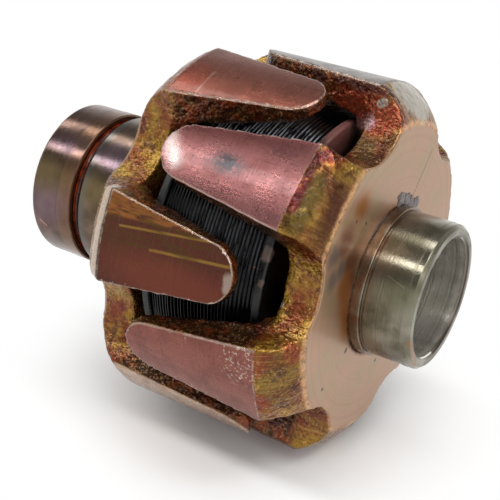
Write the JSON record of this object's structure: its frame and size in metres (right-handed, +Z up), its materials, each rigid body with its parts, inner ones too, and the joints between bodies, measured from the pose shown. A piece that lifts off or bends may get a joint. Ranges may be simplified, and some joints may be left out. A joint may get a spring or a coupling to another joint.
{
  "type": "alternator rotor",
  "caption": "Claw pole alternator rotor: interleaved tapered fingers round a wound coil, on a hollow shaft with a plain front collar and a grooved rear drum.",
  "frame": {"origin": "on the shaft's axis, midway between the flat faces of the two pole pieces", "axes": "+X along the shaft towards the front collar, +Z up from the floor that the fingers lie on"},
  "size_m": [0.1174, 0.1, 0.1],
  "materials": {
    "pole_iron": "forged iron, turned outside, under clear red-brown varnish",
    "core_iron": "varnished iron",
    "insulation": "pressed fibre board soaked in varnish",
    "winding": "black enamelled copper wire, glossy",
    "shaft_steel": "bare turned steel",
    "neck_steel": "turned steel with a thin brown varnish",
    "groove_varnish": "dark red varnish",
    "drum_steel": "turned steel with a thin brown varnish"
  },
  "bodies": {
    "root": {"front_claw_pole": "pole_iron", "rear_claw_pole": "pole_iron", "field_core": "core_iron", "insulating_sleeve": "insulation", "front_coil_washer": "insulation", "rear_coil_washer": "insulation", "field_coil": "winding", "hollow_shaft": "shaft_steel", "rear_neck_ring": "neck_steel", "rear_groove_ring": "groove_varnish", "rear_drum": "drum_steel"}
  },
  "joints": []
}
